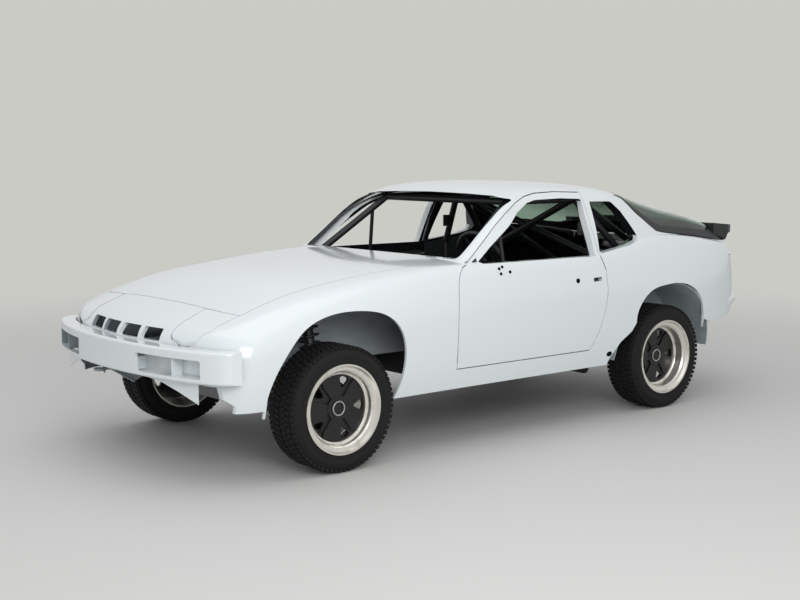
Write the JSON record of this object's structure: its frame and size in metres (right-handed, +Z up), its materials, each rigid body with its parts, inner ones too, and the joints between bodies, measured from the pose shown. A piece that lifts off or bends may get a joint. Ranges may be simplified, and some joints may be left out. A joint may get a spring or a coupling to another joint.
{
  "type": "stripped rally coupe on its wheels",
  "caption": "Stripped two-door rally coupe: bare white hatchback shell with pop-up lamp lids, roll cage, running gear and opening doors, bonnet and hatch.",
  "frame": {"origin": "on the ground below the middle of the bounding box", "axes": "+X forward towards the nose, +Y to the car's left, +Z up"},
  "size_m": [4.2107, 1.7104, 1.3475],
  "materials": {
    "shell_paint": "gloss",
    "tyre_rubber": "matte",
    "polished_rim": "polished",
    "black_wheel_centre": "satin",
    "tinted_glass": "gloss",
    "black_rubber": "matte",
    "black_trim": "satin",
    "wing_grey_paint": "satin",
    "cabin_black_paint": "matte",
    "cage_paint": "satin",
    "wheel_rim_leather": "satin",
    "spring_paint": "satin",
    "cast_alloy": "cast",
    "black_steel": "satin"
  },
  "bodies": {
    "chassis": {"body_shell": "shell_paint", "bulkhead": "cabin_black_paint", "dampers": "black_steel", "engine_block": "cast_alloy", "fenders": "shell_paint", "floor_pan": "cabin_black_paint", "front_bumper": "shell_paint", "front_crossmember": "black_steel", "half_shafts": "black_steel", "inner_wings": "wing_grey_paint", "lower_arms": "black_steel", "nose_panel": "shell_paint", "quarter_panels": "shell_paint", "rear_axle": "black_steel", "rear_tubs": "wing_grey_paint", "roll_cage": "cage_paint", "roof_panel": "shell_paint", "springs": "spring_paint", "steering_column": "black_steel", "strut_mounts": "black_steel", "tail_panel": "shell_paint", "tow_eye": "wing_grey_paint", "transaxle": "cast_alloy"},
    "side_door_left": {"door_left": "shell_paint"},
    "lamp_cover_left": {"lamp_lid_left": "shell_paint"},
    "steered_upright_left": {"knuckle_left": "black_steel"},
    "wheel_front_left": {"tyre_front_left": "tyre_rubber", "rim_front_left": "polished_rim", "spider_front_left": "black_wheel_centre"},
    "wheel_rear_left": {"tyre_rear_left": "tyre_rubber", "rim_rear_left": "polished_rim", "spider_rear_left": "black_wheel_centre"},
    "side_door_right": {"door_right": "shell_paint"},
    "lamp_cover_right": {"lamp_lid_right": "shell_paint"},
    "steered_upright_right": {"knuckle_right": "black_steel"},
    "wheel_front_right": {"tyre_front_right": "tyre_rubber", "rim_front_right": "polished_rim", "spider_front_right": "black_wheel_centre"},
    "wheel_rear_right": {"tyre_rear_right": "tyre_rubber", "rim_rear_right": "polished_rim", "spider_rear_right": "black_wheel_centre"},
    "bonnet_panel": {"bonnet": "shell_paint"},
    "rear_hatch": {"hatch_frame": "black_trim", "hatch_glass": "tinted_glass", "spoiler": "black_rubber"},
    "hand_wheel": {"steering_wheel": "wheel_rim_leather"}
  },
  "joints": [
    {"name": "steer_left", "type": "hinge", "parent": "chassis", "child": "steered_upright_left", "pos_m": [1.286, 0.645, 0.3065], "axis": [0, -0.2588, 0.9659], "range_deg": [-33, 33]},
    {"name": "spin_front_left", "type": "hinge", "parent": "steered_upright_left", "child": "wheel_front_left", "pos_m": [1.286, 0.75, 0.3065], "axis": [0, 1, 0], "continuous": true},
    {"name": "spin_rear_left", "type": "hinge", "parent": "chassis", "child": "wheel_rear_left", "pos_m": [-1.114, 0.71, 0.3065], "axis": [0, 1, 0], "continuous": true},
    {"name": "swing_door_left", "type": "hinge", "parent": "chassis", "child": "side_door_left", "pos_m": [0.552, 0.843, 0.65], "axis": [0, 0, -1], "range_deg": [0, 62]},
    {"name": "lift_lamp_left", "type": "hinge", "parent": "chassis", "child": "lamp_cover_left", "pos_m": [1.754, 0.65, 0.762], "axis": [0.129, -0.9902, 0.0541], "range_deg": [0, 45]},
    {"name": "steer_right", "type": "hinge", "parent": "chassis", "child": "steered_upright_right", "pos_m": [1.286, -0.645, 0.3065], "axis": [0, 0.2588, 0.9659], "range_deg": [-33, 33]},
    {"name": "spin_front_right", "type": "hinge", "parent": "steered_upright_right", "child": "wheel_front_right", "pos_m": [1.286, -0.75, 0.3065], "axis": [0, 1, 0], "continuous": true},
    {"name": "spin_rear_right", "type": "hinge", "parent": "chassis", "child": "wheel_rear_right", "pos_m": [-1.114, -0.71, 0.3065], "axis": [0, 1, 0], "continuous": true},
    {"name": "swing_door_right", "type": "hinge", "parent": "chassis", "child": "side_door_right", "pos_m": [0.552, -0.843, 0.65], "axis": [0, 0, 1], "range_deg": [0, 62]},
    {"name": "lift_lamp_right", "type": "hinge", "parent": "chassis", "child": "lamp_cover_right", "pos_m": [1.754, -0.65, 0.762], "axis": [-0.129, -0.9902, -0.0541], "range_deg": [0, 45]},
    {"name": "lift_bonnet", "type": "hinge", "parent": "chassis", "child": "bonnet_panel", "pos_m": [0.453, 0, 0.968], "axis": [0, -1, 0], "range_deg": [0, 50]},
    {"name": "lift_hatch", "type": "hinge", "parent": "chassis", "child": "rear_hatch", "pos_m": [-0.902, 0, 1.306], "axis": [0, 1, 0], "range_deg": [0, 55]},
    {"name": "turn_hand_wheel", "type": "hinge", "parent": "chassis", "child": "hand_wheel", "pos_m": [-0.044, 0.36, 0.9], "axis": [-0.9272, 0, 0.3746], "range_deg": [-500, 500]}
  ],
  "couplings": [
    {"joint": "steer_right", "follows": "steer_left", "ratio": 1},
    {"joint": "turn_hand_wheel", "follows": "steer_left", "ratio": 15}
  ]
}
